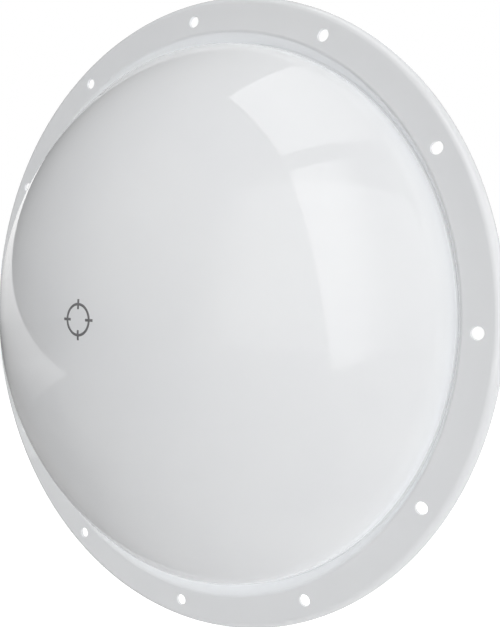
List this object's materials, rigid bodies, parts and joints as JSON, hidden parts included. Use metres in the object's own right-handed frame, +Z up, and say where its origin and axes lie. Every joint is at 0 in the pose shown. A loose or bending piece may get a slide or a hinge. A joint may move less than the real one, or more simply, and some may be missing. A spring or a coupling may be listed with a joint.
{
  "type": "radome-covered parabolic dish antenna",
  "caption": "Shallow domed white radome with an open-holed flange over a spun parabolic reflector, with feed, radio unit and a tilting, swivelling pole mount.",
  "frame": {"origin": "centre of the ring of open holes, on the front face of the radome's flange", "axes": "-Y is the boresight, out of the dome; +Z is up, along the pole; +X is to the right of somebody who faces the dome"},
  "size_m": [0.6499, 0.525, 0.65],
  "materials": {
    "radome_white": "smooth satin-gloss thermoformed plastic",
    "dish_paint": "light grey powder coat on spun aluminium",
    "cast_alu": "bead-blasted cast aluminium",
    "turned_alu": "turned aluminium with fine tool rings",
    "galvanised": "hot-dip galvanised steel",
    "zinc_fastener": "bright zinc-plated steel",
    "black_rubber": "matt EPDM rubber",
    "brass": "satin brass",
    "white_dielectric": "machined white polymer",
    "housing_white": "fine-textured white moulding",
    "bay_grey": "fine-textured grey moulding",
    "dark_plastic": "dark moulding",
    "cable_black": "satin cable jacket",
    "board_green": "solder mask",
    "led_green": "clear tinted light pipe"
  },
  "bodies": {
    "pole_mount": {"pole_bracket": "galvanised", "swivel_bolt": "zinc_fastener", "swivel_nut": "zinc_fastener", "swivel_washers": "zinc_fastener", "swivel_spacer": "turned_alu", "clamp_bolts": "zinc_fastener"},
    "upper_jaw": {"clamp_jaw_upper": "cast_alu", "jaw_nuts_upper": "zinc_fastener"},
    "lower_jaw": {"clamp_jaw_lower": "cast_alu", "jaw_nuts_lower": "zinc_fastener"},
    "swivel_yoke": {"azimuth_yoke": "galvanised", "tilt_pivot_bolts": "zinc_fastener", "tilt_pivot_washers": "zinc_fastener", "tilt_pivot_nuts": "zinc_fastener", "tilt_lock_bolts": "zinc_fastener", "tilt_lock_washers": "zinc_fastener", "tilt_lock_nuts": "zinc_fastener", "swivel_lock_bolts": "zinc_fastener", "swivel_lock_washers": "zinc_fastener", "swivel_lock_nuts": "zinc_fastener"},
    "radome": {"radome_shell": "radome_white", "radome_inserts": "brass"},
    "port_door": {"port_cover": "housing_white", "cable_gland": "dark_plastic"},
    "button": {"reset_button": "dark_plastic"},
    "dish": {"reflector": "dish_paint", "rim_seal": "black_rubber", "radome_washers": "zinc_fastener", "radome_screws": "zinc_fastener", "front_clamp_ring": "turned_alu", "hub_plate": "cast_alu", "hub_bolts": "zinc_fastener", "feed_tube": "turned_alu", "feed_choke_ring": "turned_alu", "feed_dielectric": "white_dielectric", "subreflector": "turned_alu", "subreflector_screw": "white_dielectric", "feed_screws": "zinc_fastener", "feed_o_ring": "black_rubber", "omt_body": "cast_alu", "omt_screws": "zinc_fastener", "omt_jacks": "brass", "jumper_cables": "cable_black", "jumper_plugs": "zinc_fastener", "tilt_bracket": "galvanised", "tilt_bracket_bolts": "zinc_fastener", "tilt_bracket_washers": "zinc_fastener", "radio_bracket": "galvanised", "radio_mount_screws": "zinc_fastener", "radio_housing": "housing_white", "radio_gasket": "black_rubber", "radio_rear_cover": "housing_white", "radio_cover_screws": "zinc_fastener", "radio_board": "board_green", "radio_rf_jacks": "brass", "port_bay": "bay_grey", "ethernet_jack": "turned_alu", "status_leds": "led_green", "ground_lug": "brass", "ground_screw": "zinc_fastener"}
  },
  "joints": [
    {"name": "upper_jaw_slide", "type": "slide", "parent": "pole_mount", "child": "upper_jaw", "axis": [0, 1, 0], "range_m": [0, 0.025]},
    {"name": "lower_jaw_slide", "type": "slide", "parent": "pole_mount", "child": "lower_jaw", "axis": [0, 1, 0], "range_m": [0, 0.025]},
    {"name": "azimuth_swivel", "type": "hinge", "parent": "pole_mount", "child": "swivel_yoke", "pos_m": [0, 0.23908, 0], "axis": [0, 0, 1], "range_deg": [-15, 15]},
    {"name": "elevation_tilt", "type": "hinge", "parent": "swivel_yoke", "child": "dish", "pos_m": [0, 0.18909, 0.026], "axis": [-1, 0, 0], "range_deg": [-15, 25]},
    {"name": "radome_removal", "type": "slide", "parent": "dish", "child": "radome", "axis": [0, -1, 0], "range_m": [0, 0.3]},
    {"name": "port_cover_slide", "type": "slide", "parent": "dish", "child": "port_door", "axis": [0, 0, -1], "range_m": [0, 0.03]},
    {"name": "reset_press", "type": "slide", "parent": "dish", "child": "button", "axis": [0, 0, 1], "range_m": [0, 0.0015], "stiffness_N_per_m": 400}
  ]
}
